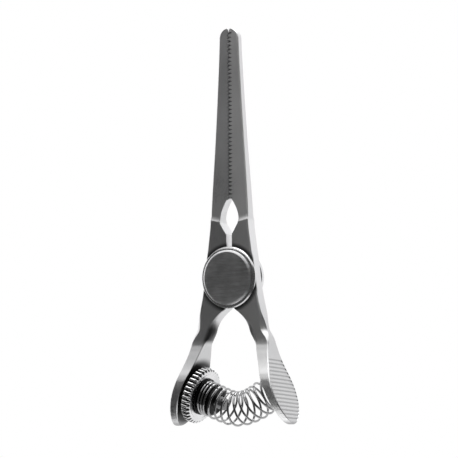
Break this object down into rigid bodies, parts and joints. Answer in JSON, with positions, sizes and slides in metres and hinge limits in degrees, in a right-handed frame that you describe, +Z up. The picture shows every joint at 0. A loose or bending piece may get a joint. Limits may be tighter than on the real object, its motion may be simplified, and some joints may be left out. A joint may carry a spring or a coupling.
{
  "type": "bulldog clamp",
  "caption": "Stainless steel spring clamp with straight serrated jaws, ribbed finger plates and a bowed coil spring set by a knurled wheel.",
  "frame": {"origin": "on the pivot axis, at the centre of the flat rear face of the round pivot nut", "axes": "+Z up the closed jaws to their tips, +Y out of the rear face along the pivot axis, so the plain screw head faces -Y, and +X towards the arm without the adjusting wheel"},
  "size_m": [0.0274, 0.0116, 0.0797],
  "materials": {
    "arm_steel": "satin brushed faces with bright bevelled edges",
    "head_steel": "fine straight brushed face, polished bevel",
    "bright_steel": "polished turned rings and nut",
    "wheel_steel": "polished faces with a coarse straight knurl",
    "stud_steel": "bright threaded rod",
    "spring_wire": "polished spring wire",
    "bush_steel": "ground"
  },
  "bodies": {
    "left_body": {"left_arm": "arm_steel", "pivot_screw": "head_steel", "front_ring": "bright_steel", "pivot_bush": "bush_steel", "rear_washer": "bright_steel", "pivot_nut": "bright_steel", "adjusting_stud": "stud_steel", "tension_spring": "spring_wire"},
    "right_body": {"right_arm": "arm_steel", "spring_seat": "bright_steel"},
    "collar_body": {"spring_collar": "bright_steel"},
    "wheel_body": {"adjusting_wheel": "wheel_steel"}
  },
  "joints": [
    {"name": "jaw_pivot", "type": "hinge", "parent": "left_body", "child": "right_body", "pos_m": [0, -0.00281, 0], "axis": [0, 1, 0], "range_deg": [0, 10], "stiffness_Nm_per_rad": 0.5, "springref_deg": -11.46, "deforming": ["tension_spring"]},
    {"name": "tension_travel", "type": "slide", "parent": "left_body", "child": "collar_body", "axis": [0.9455, 0, -0.3256], "range_m": [-0.00025, 0.00125], "deforming": ["tension_spring"]},
    {"name": "wheel_spin", "type": "hinge", "parent": "collar_body", "child": "wheel_body", "pos_m": [-0.00962, -0.00281, -0.0227], "axis": [0.9455, 0, -0.3256], "range_deg": [-180.1, 900.1]}
  ],
  "couplings": [
    {"joint": "wheel_spin", "follows": "tension_travel", "rad_per_m": 12566}
  ]
}
